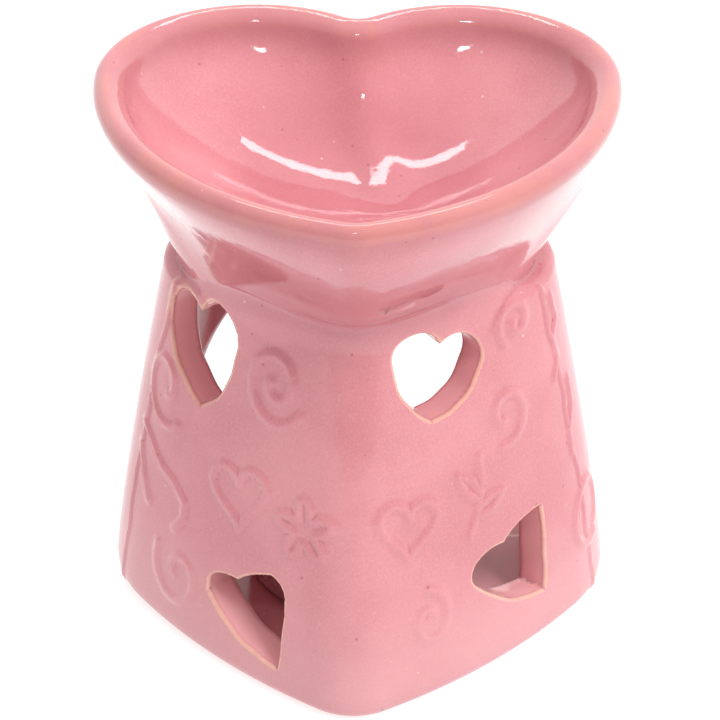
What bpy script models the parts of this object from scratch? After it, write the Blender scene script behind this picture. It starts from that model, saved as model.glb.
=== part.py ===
"""Ceramic tealight burner: a heart-shaped dish on a hollow heart-plan stand, with the tealight that heats it.

The dish and the stand are two castings, luted together before firing. The front is -Y, where the
heart's point is, and the back is +Y, where the tealight goes in. Metres, +Z up, origin on the
surface it stands on, under the middle of the rim.
"""

import math
from collections import namedtuple

import bmesh
import bpy
from mathutils import Matrix, Vector

# Driving dimensions.
HEIGHT = 0.0905
NECK_Z = 0.0617
WALL = 0.006
FLOOR_TOP = 0.0042
SHOULDER_R = 0.0016
SEAT_INSET = 0.0022
GAP = 0.0003

# A plan outline is a heart made of tangent arcs: the point, a long side arc, a lobe, and the notch.
# Each is mirrored about X = 0. The y values are measured from the middle of the rim.
Section = namedtuple("Section", "z lobe_x lobe_r lobe_y tip_y tip_r side_r notch_r")
BASE = Section(0.0035, 0.0172, 0.0235, 0.0106, -0.0328, 0.0105, 0.105, 0.006)
NECK = Section(NECK_Z, 0.0119, 0.0183, 0.0107, -0.0158, 0.0100, 0.110, 0.006)
RIM = Section(HEIGHT - 0.0030, 0.0160, 0.0242, 0.0130, -0.0370, 0.0065, 0.052, 0.007)

# Samples along each arc of half an outline.
TIP_STEPS, SIDE_STEPS, LOBE_STEPS, NOTCH_STEPS = 4, 7, 13, 3

# Foot of the stand.
FOOT_ROUND = 0.0022
FOOT_WIDTH = 0.0062
FOOT_RECESS = 0.0010

# Lip and bowl of the dish. The bowl grows rounder towards its floor, and the dish's belly hangs a
# little way into the stand.
LIP_R = 0.0024
BOWL_FLOOR = Section(0.0660, 0.0040, 0.0150, 0.0080, -0.0100, 0.0130, 0.080, 0.012)
BOWL_POWER = 2.3
BELLY_DEPTH = 0.0022
BELLY_INSET = WALL + GAP

# Hearts cut by hand through the front walls. Across is the plan x of the middle, turn and dip are in
# degrees (dip is how far the knife pointed down), and lean is how far the point strays sideways.
HeartCut = namedtuple("HeartCut", "name across z width height turn lean dip")
HEART_CUTS = (
    HeartCut("upper_left", -0.0240, 0.0505, 0.0146, 0.0177, -7.0, 0.09, 8.0),
    HeartCut("upper_right", 0.0125, 0.0515, 0.0157, 0.0140, -7.0, 0.02, 5.0),
    HeartCut("lower_left", -0.0161, 0.0115, 0.0160, 0.0153, 19.0, 0.11, 0.0),
    HeartCut("lower_right", 0.0260, 0.0156, 0.0161, 0.0143, 31.0, 0.10, 8.0),
)
CUT_OUT, CUT_IN = 0.006, 0.011

# Opening in the back wall that the tealight goes through.
ARCH_WIDTH = 0.0550
ARCH_TOP_Z = 0.0510
ARCH_START_Y = 0.012
ARCH_END_Y = 0.045

# Tealight.
TEALIGHT_Y = 0.0050
CUP_R = 0.0187
CUP_TAPER = 0.0005
CUP_HEIGHT = 0.0125
CUP_WALL = 0.0004
CUP_BEAD_R = 0.0005
WAX_DEPTH = 0.0095
WICK_R = 0.0008
WICK_LENGTH = 0.0145
TAB_R = 0.0060
TAB_THICKNESS = 0.0003
TAB_NECK_R = 0.0016
TAB_NECK_HEIGHT = 0.0030
ROUND_STEPS = 48

# Colour, roughness and metallic value of each material.
MATERIALS = {
    "pink_glaze": ((0.72, 0.30, 0.33, 1.0), 0.12, 0.0),
    "aluminium_foil": ((0.80, 0.80, 0.81, 1.0), 0.30, 1.0),
    "paraffin_wax": ((0.90, 0.88, 0.82, 1.0), 0.45, 0.0),
    "tinplate": ((0.62, 0.62, 0.60, 1.0), 0.35, 1.0),
    "waxed_cotton": ((0.88, 0.85, 0.76, 1.0), 0.80, 0.0),
}


# ---- Outlines ------------------------------------------------------------------------------------
def arc(centre, radius, start, end, steps):
    """(point, outward normal) pairs along an arc, leaving out its first point. Angles are in radians."""
    pairs = []
    for i in range(1, steps + 1):
        angle = start + (end - start) * i / steps
        normal = Vector((math.cos(angle), math.sin(angle)))
        pairs.append((centre + radius * normal, normal))
    return pairs


def meeting_point(a, from_a, b, from_b):
    """The point at those distances from a and b that lies to the left of the line from b to a."""
    line = a - b
    apart = line.length
    along = (from_b**2 - from_a**2 + apart**2) / (2 * apart)
    across = math.sqrt(from_b**2 - along**2)
    unit = line / apart
    return b + along * unit + across * Vector((-unit.y, unit.x))


def half_outline(s):
    """The +X half of a section, from its front point round to the notch, as (point, normal) pairs."""
    lobe = Vector((s.lobe_x, s.lobe_y))
    tip = Vector((0.0, s.tip_y + s.tip_r))
    side = meeting_point(lobe, s.side_r - s.lobe_r, tip, s.side_r - s.tip_r)
    notch = Vector((0.0, s.lobe_y + math.sqrt((s.lobe_r + s.notch_r) ** 2 - s.lobe_x**2)))
    at_tip, at_lobe, at_notch = (math.atan2(d.y, d.x) for d in (tip - side, lobe - side, notch - lobe))
    pairs = [(Vector((0.0, s.tip_y)), Vector((0.0, -1.0)))]
    pairs += arc(tip, s.tip_r, -math.pi / 2, at_tip, TIP_STEPS)
    pairs += arc(side, s.side_r, at_tip, at_lobe, SIDE_STEPS)
    pairs += arc(lobe, s.lobe_r, at_lobe, at_notch, LOBE_STEPS)
    pairs += arc(notch, -s.notch_r, at_notch, math.pi / 2, NOTCH_STEPS)
    return pairs


def mixed(a, b, share, z):
    """The section a share of the way from a to b, placed at height z."""
    values = [p + (q - p) * share for p, q in zip(a, b)]
    return Section(z, *values[1:])


def ring(section, inset=0.0, z=None):
    """A section's closed outline, counter-clockwise from above, moved in by inset along its normals."""
    right = [p - inset * n for p, n in half_outline(section)]
    left = [Vector((-p.x, p.y)) for p in reversed(right[1:-1])]
    height = section.z if z is None else z
    return [Vector((p.x, p.y, height)) for p in right + left]


def stand_section(z):
    """The stand's outer section at height z: slightly bellied walls that lean in from base to neck."""
    share = max(0.0, (z - BASE.z) / (NECK.z - BASE.z)) ** 1.15
    return mixed(BASE, NECK, share, z)


def dish_ring(z):
    """The dish's outer outline at height z: a shallow curve that flares from the seat to the rim."""
    share = ((z - NECK.z) / (RIM.z - NECK.z)) ** 0.95
    return ring(mixed(NECK, RIM, share, z), SEAT_INSET * (1 - share))


def front_wall(across, z):
    """The point of the stand's front wall with that plan x, at height z, and its outward normal."""
    pairs = half_outline(stand_section(z))
    for (p, n), (q, m) in zip(pairs, pairs[1:]):
        if p.x <= abs(across) < q.x:
            share = (abs(across) - p.x) / (q.x - p.x)
            point, normal = p.lerp(q, share), n.lerp(m, share).normalized()
            side = math.copysign(1.0, across)
            return Vector((side * point.x, point.y, z)), Vector((side * normal.x, normal.y, 0.0))
    raise ValueError(f"the front wall has no point {across} from the middle")


# ---- Meshes --------------------------------------------------------------------------------------
def new_object(name, bm, material=None, sharp_degrees=35.0):
    """An object from a bmesh, shaded smooth apart from its sharp edges."""
    mesh = bpy.data.meshes.new(name)
    bm.to_mesh(mesh)
    bm.free()
    mesh.shade_smooth()
    mesh.set_sharp_from_angle(angle=math.radians(sharp_degrees))
    obj = bpy.data.objects.new(name, mesh)
    bpy.context.scene.collection.objects.link(obj)
    if material:
        obj.data.materials.append(material)
    return obj


def lofted(rings):
    """A closed bmesh through rings of equal length, with a face across the first and the last."""
    bm = bmesh.new()
    rows = [[bm.verts.new(p) for p in points] for points in rings]
    count = len(rows[0])
    for low, high in zip(rows, rows[1:]):
        for i in range(count):
            j = (i + 1) % count
            bm.faces.new((low[i], low[j], high[j], high[i]))
    bm.faces.new(list(reversed(rows[0])))
    bm.faces.new(rows[-1])
    return bm


def turned(profile, steps=ROUND_STEPS):
    """A closed bmesh of revolution about Z. The (radius, z) profile runs up the outside and ends on the axis."""
    bm = bmesh.new()
    rows = []
    for radius, z in profile:
        if radius == 0.0:
            rows.append([bm.verts.new((0.0, 0.0, z))] * steps)
            continue
        angles = [2 * math.pi * i / steps for i in range(steps)]
        rows.append([bm.verts.new((radius * math.cos(a), radius * math.sin(a), z)) for a in angles])
    pairs = list(zip(rows, rows[1:]))
    if profile[0][0] > 0.0:
        pairs.append((rows[-1], rows[0]))
    for low, high in pairs:
        for i in range(steps):
            j = (i + 1) % steps
            corners = list(dict.fromkeys((low[i], low[j], high[j], high[i])))
            if len(corners) > 2:
                bm.faces.new(corners)
    return bm


def heart_outline(cut):
    """A plump heart, point down, centred between its top and its point, as (x, y) pairs."""
    right = [p for p, n in half_outline(Section(0.0, 0.235, 0.265, 0.20, -0.4625, 0.02, 0.85, 0.015))]
    left = [Vector((-p.x, p.y)) for p in reversed(right[1:-1])]
    tall = cut.height / 0.9275
    return [Vector((p.x * cut.width - cut.lean * p.y * tall, p.y * tall)) for p in right + left]


def prism(outline, near, far):
    """A closed bmesh: an outline of points, drawn out along Z from near to far."""
    return lofted([[Vector((p.x, p.y, z)) for p in outline] for z in (near, far)])


def cut(target, cutter):
    """Takes cutter out of target with a Boolean, and hides it from renders."""
    cutter.hide_render = True
    cutter.display_type = "WIRE"
    boolean = target.modifiers.new(cutter.name, "BOOLEAN")
    boolean.operation = "DIFFERENCE"
    boolean.solver = "EXACT"
    boolean.object = cutter


def make_materials():
    made = {}
    for name, (colour, roughness, metallic) in MATERIALS.items():
        material = bpy.data.materials.new(name)
        material.use_nodes = True
        shader = material.node_tree.nodes["Principled BSDF"]
        shader.inputs["Base Color"].default_value = colour
        shader.inputs["Roughness"].default_value = roughness
        shader.inputs["Metallic"].default_value = metallic
        made[name] = material
    return made


# ---- Ceramic -------------------------------------------------------------------------------------
def stand_rings():
    """Rings of the stand: underside, outer wall, top edge, inner wall and floor."""
    foot = stand_section(0.0)
    rings = [
        ring(foot, FOOT_ROUND + FOOT_WIDTH + 0.001, FOOT_RECESS),
        ring(foot, FOOT_ROUND + FOOT_WIDTH, 0.0),
        ring(foot, FOOT_ROUND, 0.0),
    ]
    for degrees in (30, 60, 90):
        angle = math.radians(degrees)
        z = FOOT_ROUND * (1 - math.cos(angle))
        rings.append(ring(stand_section(z), FOOT_ROUND * (1 - math.sin(angle))))
    levels = 6
    low = rings[-1][0].z
    high = NECK_Z - SHOULDER_R
    for i in range(1, levels + 1):
        rings.append(ring(stand_section(low + (high - low) * i / levels)))
    for degrees in (30, 60, 90):
        angle = math.radians(degrees)
        z = high + SHOULDER_R * math.sin(angle)
        rings.append(ring(stand_section(z), SHOULDER_R * (1 - math.cos(angle))))
    for i in range(levels):
        rings.append(ring(stand_section(NECK_Z + (FLOOR_TOP + 0.002 - NECK_Z) * i / (levels - 1)), WALL))
    rings.append(ring(stand_section(FLOOR_TOP), WALL + 0.002))
    return rings


def dish_rings():
    """Rings of the dish: belly, seat, flared underside, rolled lip and bowl."""
    seat_z = NECK_Z + GAP
    rings = [
        ring(NECK, BELLY_INSET + 0.0030, seat_z - BELLY_DEPTH),
        ring(NECK, BELLY_INSET + 0.0010, seat_z - BELLY_DEPTH * 0.7),
        ring(NECK, BELLY_INSET, seat_z),
    ]
    levels = 7
    for i in range(levels + 1):
        rings.append(dish_ring(seat_z + (RIM.z - seat_z) * i / levels))
    lip_z = HEIGHT - LIP_R
    for degrees in (20, 45, 70, 90, 110, 135, 160, 185):
        angle = math.radians(degrees)
        rings.append(ring(RIM, LIP_R * (1 - math.cos(angle)), lip_z + LIP_R * math.sin(angle)))
    edge_z = rings[-1][0].z
    for share in (0.06, 0.14, 0.24, 0.36, 0.50, 0.66, 0.83, 1.0):
        z = BOWL_FLOOR.z + (edge_z - BOWL_FLOOR.z) * (1 - share) ** BOWL_POWER
        rings.append(ring(mixed(RIM, BOWL_FLOOR, share, z), 2 * LIP_R))
    return rings


def heart_cutter(h):
    """A bar with a heart outline that lies on the wall's surface, drawn out along the knife's direction."""
    point, normal = front_wall(h.across, h.z)
    above, _ = front_wall(h.across, h.z + 0.001)
    up = (above - point).normalized()
    side = up.cross(normal).normalized()
    knife = (-normal * math.cos(math.radians(h.dip)) - Vector((0.0, 0.0, math.sin(math.radians(h.dip)))))
    spin = Matrix.Rotation(math.radians(h.turn), 2)
    flat = [spin @ p for p in heart_outline(h)]
    bars = [[point + p.x * side + p.y * up + reach * knife for p in flat] for reach in (CUT_IN, -CUT_OUT)]
    return new_object(f"cutter_{h.name}", lofted(bars))


def arch_outline():
    """The back opening in XZ: upright sides and a round head."""
    half = ARCH_WIDTH / 2
    head_z = ARCH_TOP_Z - half
    points = [Vector((-half, FLOOR_TOP)), Vector((half, FLOOR_TOP))]
    for i in range(21):
        angle = math.pi * i / 20
        points.append(Vector((half * math.cos(angle), head_z + half * math.sin(angle))))
    return points


def make_stand(material):
    stand = new_object("burner_stand", lofted(stand_rings()), material)
    for h in HEART_CUTS:
        cut(stand, heart_cutter(h))
    arch = new_object("cutter_arch", prism(arch_outline(), -ARCH_END_Y, -ARCH_START_Y))
    arch.rotation_euler = (math.pi / 2, 0.0, 0.0)
    cut(stand, arch)
    return stand


# ---- Tealight ------------------------------------------------------------------------------------
def cup_profile():
    """Foil cup, from the middle of its underside, out and up the wall, over the bead and down the inside."""
    base_r = CUP_R - CUP_TAPER
    corner = 0.0008
    top = CUP_HEIGHT - CUP_BEAD_R
    profile = [(0.0, 0.0), (base_r - corner, 0.0), (base_r, corner), (CUP_R, top)]
    for degrees in (0, 45, 90, 135):
        angle = math.radians(degrees)
        x = CUP_R + CUP_BEAD_R * (math.cos(angle) * 0.8 - 0.2)
        profile.append((x, top + CUP_BEAD_R * (0.4 + 0.6 * math.sin(angle))))
    profile.append((CUP_R - CUP_WALL, top))
    profile.append((base_r - CUP_WALL, corner + CUP_WALL))
    profile.append((base_r - CUP_WALL - corner, CUP_WALL))
    profile.append((0.0, CUP_WALL))
    return profile


def wax_profile():
    """Wax block with a hole for the wick and a pocket underneath for its tab, from the pocket outwards."""
    low = CUP_WALL + GAP
    slope = CUP_TAPER / CUP_HEIGHT
    outer = CUP_R - CUP_TAPER - CUP_WALL - GAP
    top = low + WAX_DEPTH
    bore = WICK_R + GAP
    pocket = low + GAP + TAB_THICKNESS + GAP
    return [
        (TAB_R + GAP, low),
        (outer - 0.0010, low),
        (outer, low + 0.0010),
        (outer + slope * WAX_DEPTH, top),
        (outer * 0.80, top - 0.0004),
        (outer * 0.35, top - 0.0006),
        (bore + 0.0006, top - 0.0002),
        (bore, top - 0.0002),
        (bore, low + GAP + TAB_THICKNESS + TAB_NECK_HEIGHT + GAP),
        (TAB_NECK_R + GAP, low + GAP + TAB_THICKNESS + TAB_NECK_HEIGHT + GAP),
        (TAB_NECK_R + GAP, pocket),
        (TAB_R + GAP, pocket),
    ]


def tab_profile():
    """Wick tab: a thin disc with an open neck that grips the wick."""
    top = TAB_THICKNESS + TAB_NECK_HEIGHT
    bore = WICK_R + GAP
    return [
        (0.0, 0.0),
        (TAB_R, 0.0),
        (TAB_R, TAB_THICKNESS),
        (TAB_NECK_R, TAB_THICKNESS),
        (TAB_NECK_R, top),
        (bore, top),
        (bore, TAB_THICKNESS),
        (0.0, TAB_THICKNESS),
    ]


def wick_profile():
    """Cotton wick, a little frayed wider at its free end."""
    return [
        (0.0, 0.0),
        (WICK_R, 0.0),
        (WICK_R, WICK_LENGTH * 0.9),
        (WICK_R * 0.8, WICK_LENGTH),
        (0.0, WICK_LENGTH),
    ]


def make_tealight(materials):
    """The tealight's four pieces, parented to an empty where it stands on the floor of the stand."""
    place = bpy.data.objects.new("tealight_place", None)
    place.location = (0.0, TEALIGHT_Y, FLOOR_TOP + GAP)
    bpy.context.scene.collection.objects.link(place)
    tab_z = CUP_WALL + GAP
    pieces = (
        ("tealight_cup", cup_profile(), 0.0, "aluminium_foil"),
        ("candle_wax", wax_profile(), 0.0, "paraffin_wax"),
        ("wick_tab", tab_profile(), tab_z, "tinplate"),
        ("candle_wick", wick_profile(), tab_z + TAB_THICKNESS + GAP, "waxed_cotton"),
    )
    for name, profile, z, material in pieces:
        steps = ROUND_STEPS if profile[1][0] > 0.01 or name == "candle_wax" else ROUND_STEPS // 2
        piece = new_object(name, turned(profile, steps), materials[material])
        piece.location = (0.0, 0.0, z)
        piece.parent = place


def main():
    for obj in list(bpy.data.objects):
        bpy.data.objects.remove(obj)
    materials = make_materials()
    make_stand(materials["pink_glaze"])
    new_object("wax_dish", lofted(dish_rings()), materials["pink_glaze"])
    make_tealight(materials)


main()
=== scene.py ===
"""Glazed tealight burner with a heart-shaped dish, in a light studio.

The two ceramic castings are modelled as one distance field, so that every edge has the soft radius that
glaze leaves and the joint between them is a real fillet, and then meshed as two pieces. Lengths are in
millimetres until a mesh is made; meshes, lights and the camera are in metres.
"""

import math
from itertools import product

import bmesh
import bpy
import numpy as np
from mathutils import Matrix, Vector


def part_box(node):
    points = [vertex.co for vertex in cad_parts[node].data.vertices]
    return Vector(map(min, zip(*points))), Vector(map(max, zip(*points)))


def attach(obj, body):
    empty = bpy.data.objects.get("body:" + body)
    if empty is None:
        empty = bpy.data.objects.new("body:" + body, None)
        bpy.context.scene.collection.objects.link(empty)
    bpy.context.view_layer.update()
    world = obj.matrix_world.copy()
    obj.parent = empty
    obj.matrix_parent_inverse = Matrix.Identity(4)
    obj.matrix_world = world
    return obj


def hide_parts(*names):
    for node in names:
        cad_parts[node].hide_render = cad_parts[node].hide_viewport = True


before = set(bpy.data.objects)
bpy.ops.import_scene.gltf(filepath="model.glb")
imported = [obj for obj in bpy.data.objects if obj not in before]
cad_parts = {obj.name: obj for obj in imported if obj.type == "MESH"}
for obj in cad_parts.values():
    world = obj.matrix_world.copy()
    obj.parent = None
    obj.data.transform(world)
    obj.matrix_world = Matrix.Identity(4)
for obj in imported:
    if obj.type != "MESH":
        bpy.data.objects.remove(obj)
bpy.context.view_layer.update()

MM = 0.001

# ---- Sizes of the ceramic, close to the solids' ---------------------------------------------------
HEIGHT = 90.5
NECK_Z = 61.7
WALL = 6.0
FLOOR_TOP = 4.2
CEILING_Z = 59.8
FOOT_WIDTH, FOOT_RECESS = 6.2, 1.0
# lobe_x, lobe_r, lobe_y, tip_y, tip_r, side_r, notch_r of each plan outline
BASE_Z, BASE = 3.5, np.array([17.2, 23.5, 10.6, -32.8, 10.5, 105.0, 6.0])
NECK = np.array([11.9, 18.3, 10.7, -15.8, 10.0, 110.0, 6.0])
RIM_Z, RIM = 87.5, np.array([16.0, 24.2, 13.0, -37.0, 6.5, 52.0, 3.0])
BOWL_DEPTH, BOWL_POWER = 17.2, 0.80
RIDGE_HEIGHT, RIDGE_WIDTH = 1.45, 3.9
BELLY_DEPTH = 4.0
DISH_SPIN = math.radians(1.5)
ARCH_HALF, ARCH_TOP_Z, ARCH_START_Y = 27.5, 51.0, 12.0

# At the sides of the neck the dish is set back from the stand, which shows a low shelf there
SIDES = 19.0, 28.5
SEAT_INSET = 1.4
SHELF_DROP = 2.1

# How the dish's plan widens from neck to rim: a cubic in the share of the height, with no constant
WIDENING = -0.45, 0.40, 1.05
# How far the point of the heart runs ahead of the rest, and how far the dish's middle leans to +X
POINT_LEAD, MIDDLE_LEAN = 0.75, 0.8

# ---- Radii of edges and corners -------------------------------------------------------------------
LIP_R = 2.4
FOOT_ROUND = 2.2
CUT_R = 0.55
ARCH_R = 0.9
SHOULDER_R, SHELF_R = 1.9, 1.2
CHAMBER_FLOOR_R, CHAMBER_CEILING_R, CHAMBER_EDGE_R = 2.0, 2.5, 0.6
RECESS_R, RECESS_EDGE_R = 0.3, 0.4
# The neck's fillet in front, how much it grows beside the middle, and how much it loses at the sides
FILLET_R, FILLET_GAIN, FILLET_LOSS = 4.2, 1.6, 5.2

# across, z, width, height, turn, lean and dip of each heart, as in the solids
HEART_CUTS = (
    (-24.0, 50.5, 14.6, 17.7, -7.0, 0.09, 8.0),
    (12.5, 51.5, 15.7, 14.0, -7.0, 0.02, 5.0),
    (-16.1, 11.5, 16.0, 15.3, 19.0, 0.11, 0.0),
    (26.0, 15.6, 16.1, 14.3, 31.0, 0.10, 8.0),
)
# The two lower hearts are cut freehand: sideways, upward and bulge of each arc, from the tip round
FREEHAND = {
    2: (
        (5.0, -7.0, 1.6), (-9.0, 2.2, 1.1), (-6.5, 6.0, 0.2),
        (-2.8, 5.9, 0.3), (4.0, 8.4, 0.9), (6.4, 4.3, 0.3),
    ),
    3: ((6.4, -5.8, 1.6), (-7.8, -1.7, 1.2), (-8.9, 2.6, 0.7), (-3.2, 4.6, 0.9), (4.7, 9.0, 0.5)),
}

# Lobe_x to notch_r of a heart cut as shares of its width, and how tall such a heart is
HEART_SHAPE, HEART_TALL = (0.235, 0.265, 0.20, -0.4625, 0.012, 0.85, 0.02), 0.9275

# ---- Meshing --------------------------------------------------------------------------------------
CELL = 0.68
NET_LOW, NET_HIGH = (-42.0, -38.6, -1.2), (42.0, 38.6, 92.0)
# Cells along the side of a block, which is sampled in full only where the surface may cross it
BLOCK = 4
POINTS_AT_ONCE = 400000
# Tight edges below this height are meshed twice as finely
DISH_FROM_Z = 64.0


# ---- Plan outlines --------------------------------------------------------------------------------
def blend(a, b, share):
    """The outline values a share of the way from a to b, for an array of shares."""
    return [p + (q - p) * share for p, q in zip(a, b)]


def plan_distance(x, y, outline):
    """Signed distance in plan from a heart made of tangent arcs; negative inside. Arrays broadcast."""
    lobe_x, lobe_r, lobe_y, tip_y, tip_r, side_r, notch_r = outline
    x = np.abs(x)
    tip_c = tip_y + tip_r
    rise = lobe_y - tip_c
    apart = np.hypot(lobe_x, rise)
    along = ((side_r - tip_r) ** 2 - (side_r - lobe_r) ** 2 + apart**2) / (2 * apart)
    across = np.sqrt((side_r - tip_r) ** 2 - along**2)
    ux, uy = lobe_x / apart, rise / apart
    side_x = along * ux - across * uy
    side_y = tip_c + along * uy + across * ux
    notch_y = lobe_y + np.sqrt((lobe_r + notch_r) ** 2 - lobe_x**2)

    def wedge(px, py, ax, ay, bx, by):
        after, before = ax * py - ay * px >= -1e-6, px * by - py * bx >= -1e-6
        return np.where(ax * by - ay * bx >= 0, after & before, after | before)

    best = None
    arcs = (
        (side_x, side_y, side_r, 1, -side_x, tip_c - side_y, lobe_x - side_x, lobe_y - side_y),
        (0.0, tip_c, tip_r, 1, 0.0, -1.0, -side_x, tip_c - side_y),
        (lobe_x, lobe_y, lobe_r, 1, lobe_x - side_x, lobe_y - side_y, -lobe_x, notch_y - lobe_y),
        (0.0, notch_y, notch_r, -1, 0.0, -1.0, lobe_x, lobe_y - notch_y),
    )
    for cx, cy, r, sign, ax, ay, bx, by in arcs:
        px, py = x - cx, y - cy
        d = sign * (np.hypot(px, py) - r)
        if best is None:
            size = np.where(wedge(px, py, ax, ay, bx, by), np.abs(d), 1e3)
            best = d
            continue
        ok = wedge(px, py, ax, ay, bx, by) & (np.abs(d) < size)
        best = np.where(ok, d, best)
        size = np.where(ok, np.abs(d), size)
    return best


def outline_points(outline, steps=(10, 40, 70, 12)):
    """The +X half of one outline as an (n, 2) array, from the front point to the notch."""
    lobe_x, lobe_r, lobe_y, tip_y, tip_r, side_r, notch_r = outline
    tip, lobe = np.array([0.0, tip_y + tip_r]), np.array([lobe_x, lobe_y])
    line = lobe - tip
    apart = np.hypot(*line)
    along = ((side_r - tip_r) ** 2 - (side_r - lobe_r) ** 2 + apart**2) / (2 * apart)
    across = math.sqrt((side_r - tip_r) ** 2 - along**2)
    unit = line / apart
    side = tip + along * unit + across * np.array([-unit[1], unit[0]])
    notch = np.array([0.0, lobe_y + math.sqrt((lobe_r + notch_r) ** 2 - lobe_x**2)])
    angles = [math.atan2(d[1], d[0]) for d in (tip - side, lobe - side, notch - lobe)]
    arcs = (
        (tip, tip_r, -math.pi / 2, angles[0]),
        (side, side_r, angles[0], angles[1]),
        (lobe, lobe_r, angles[1], angles[2]),
        (notch, -notch_r, angles[2], math.pi / 2),
    )
    points = [np.array([[0.0, tip_y]])]
    for (centre, r, start, end), n in zip(arcs, steps):
        t = np.linspace(start, end, n + 1)[1:]
        points.append(centre + r * np.stack([np.cos(t), np.sin(t)], 1))
    return np.vstack(points)


# ---- Combining distances --------------------------------------------------------------------------
def meet(a, b, r):
    """Intersection whose edge is rounded to radius r."""
    if np.ndim(r) == 0 and r == 0:
        return np.maximum(a, b)
    return np.minimum(-r, np.maximum(a, b)) + np.hypot(np.maximum(a + r, 0), np.maximum(b + r, 0))


def join(a, b, r):
    """Union whose inside corner is filled to radius r."""
    return np.maximum(r, np.minimum(a, b)) - np.hypot(np.maximum(r - a, 0), np.maximum(r - b, 0))


def smooth(low, high, value):
    """A soft step from 0 at low to 1 at high."""
    t = np.clip((value - low) / (high - low), 0, 1)
    return t * t * (3 - 2 * t)


# ---- The bowl's surface, as heights over the plan -------------------------------------------------
GRID_STEP = 0.4
GRID_X = np.arange(-44.0, 44.01, GRID_STEP)
GRID_Y = np.arange(-42.0, 42.01, GRID_STEP)
FILM_ROUNDS, FILM_HASTE = 420, 1.93
SOFTENING_ROUNDS = 8


def neighbours(grid):
    """Sum of the four grid neighbours of each inner point of a padded grid."""
    return grid[2:, 1:-1] + grid[:-2, 1:-1] + grid[1:-1, 2:] + grid[1:-1, :-2]


def bowl_heights():
    """Height of the bowl's surface at each plan point, and how far its slope shortens a vertical gap.

    The hollow has the shape of a soap film blown into the rim, which is round everywhere but over the
    notch, where it keeps a ridge that fades towards the middle.
    """
    gx, gy = np.meshgrid(GRID_X, GRID_Y, indexing="ij")
    depth = -(plan_distance(gx, gy, RIM) + 2 * LIP_R)
    inside = depth > 0
    film = np.where(inside, depth * 14.0, 0.0)
    odd = (np.add.outer(np.arange(len(GRID_X)), np.arange(len(GRID_Y))) % 2).astype(bool)
    for _ in range(FILM_ROUNDS):
        for colour in (odd, ~odd):
            around = np.zeros_like(film)
            around[1:-1, 1:-1] = neighbours(film)
            fresh = (around + GRID_STEP**2) / 4
            film = np.where(inside & colour, film + FILM_HASTE * (fresh - film), film)
    film *= 1 + 0.011 * gy
    share = np.where(inside, film / film.max(), 0.0)
    edge_z = HEIGHT - LIP_R
    height = edge_z - BOWL_DEPTH * (np.maximum(share, 1e-4) + 0.012) ** BOWL_POWER
    ridge_x = 0.8 + 0.20 * (26 - gy)
    ridge = np.exp(-(((gx - ridge_x) / RIDGE_WIDTH) ** 2))
    height += RIDGE_HEIGHT * ridge * smooth(0.0, 14.0, gy) * (1 - smooth(24.0, 31.0, gy))
    height = np.where(inside, height, edge_z + np.minimum(2.0 * -depth, 12.0))
    for _ in range(SOFTENING_ROUNDS):
        height = (4 * height + neighbours(np.pad(height, 1, mode="edge"))) / 8
    dx, dy = np.gradient(height, GRID_STEP)
    return height, 1 / np.sqrt(1 + dx**2 + dy**2)


def cubic(grid, x, y):
    """Smooth lookup in a grid over the plan."""
    fx = np.clip((x - GRID_X[0]) / GRID_STEP, 1, len(GRID_X) - 3.001)
    fy = np.clip((y - GRID_Y[0]) / GRID_STEP, 1, len(GRID_Y) - 3.001)
    ix, iy = fx.astype(int), fy.astype(int)
    tx, ty = fx - ix, fy - iy

    def weights(t):
        return (
            ((-0.5 * t + 1.0) * t - 0.5) * t,
            (1.5 * t - 2.5) * t * t + 1.0,
            ((-1.5 * t + 2.0) * t + 0.5) * t,
            (0.5 * t - 0.5) * t * t,
        )

    wx, wy = weights(tx), weights(ty)
    total = 0.0
    for i in range(4):
        for j in range(4):
            total = total + wx[i] * wy[j] * grid[ix + i - 1, iy + j - 1]
    return total


BOWL_HEIGHT, BOWL_COSINE = bowl_heights()


# ---- Places on the stand's wall -------------------------------------------------------------------
def stand_share(z):
    """How far from the base outline to the neck outline the wall has come at a height."""
    return np.clip((z - BASE_Z) / (NECK_Z - BASE_Z), 0, None) ** 1.15


def wall_distance(x, y, z):
    """Plan distance from the stand's outer wall, negative inside it."""
    return plan_distance(x, y, blend(BASE, NECK, stand_share(z)))


def wall_point(across, z):
    """Point and outward plan normal of the front wall where its plan x is across."""
    half = outline_points([float(v) for v in blend(BASE, NECK, stand_share(z))])
    i = int(np.argmax(half[:, 0] >= abs(across)))
    p, q = half[i - 1], half[i]
    share = (abs(across) - p[0]) / max(q[0] - p[0], 1e-9)
    point = p + (q - p) * share
    along = (q - p) / np.hypot(*(q - p))
    side = math.copysign(1.0, across)
    return np.array([side * point[0], point[1], z]), np.array([side * along[1], -along[0], 0.0])


def wall_frame(across, z):
    """Point on the front wall with its sideways, upward, outward and plan normal directions."""
    point, normal = wall_point(across, z)
    above, _ = wall_point(across, z + 1.0)
    up = (above - point) / np.linalg.norm(above - point)
    side = np.cross(up, normal)
    side /= np.linalg.norm(side)
    return point, side, up, np.cross(side, up), normal


# ---- Heart cuts -----------------------------------------------------------------------------------
def segments_distance(u, v, points, closed):
    """Unsigned distance from many points to a chain of segments."""
    a = points
    b = np.roll(points, -1, 0) if closed else points[1:]
    best = np.full(u.shape, 1e6)
    for (ax, ay), (bx, by) in zip(a, b):
        ex, ey = bx - ax, by - ay
        t = np.clip(((u - ax) * ex + (v - ay) * ey) / (ex * ex + ey * ey), 0, 1)
        best = np.minimum(best, (u - ax - t * ex) ** 2 + (v - ay - t * ey) ** 2)
    return np.sqrt(best)


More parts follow.
